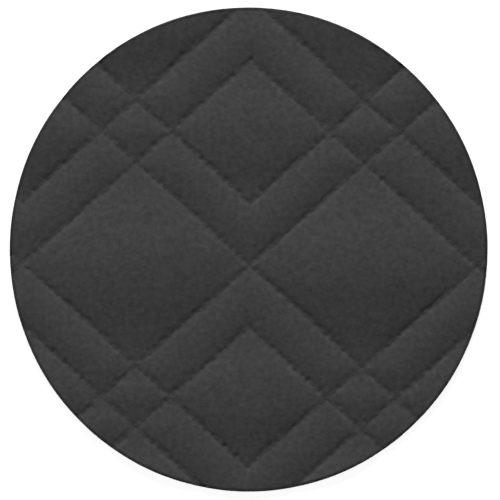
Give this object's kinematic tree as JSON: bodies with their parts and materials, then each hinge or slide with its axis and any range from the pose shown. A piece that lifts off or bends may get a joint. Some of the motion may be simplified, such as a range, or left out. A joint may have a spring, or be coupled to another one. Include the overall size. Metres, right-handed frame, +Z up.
{
  "type": "round piece of quilted cover cloth",
  "caption": "Round piece of charcoal quilted cover cloth, lying flat face up, its wadding sewn into puffed diamonds, chevron bands and small squares.",
  "frame": {"origin": "on the surface that the cloth lies on, under the middle of its outline", "axes": "+Z up, out of the cloth's face; +Y the way that the diamonds stand, the top of the pattern; +X across them"},
  "size_m": [0.261, 0.2644, 0.0064],
  "materials": {
    "quilted_cloth": "matt charcoal microfibre face with a fine brushed nap, quilted over thin wadding",
    "sewing_thread": "dark charcoal polyester sewing thread"
  },
  "bodies": {
    "root": {"quilted_cloth": "quilted_cloth"}
  },
  "joints": []
}
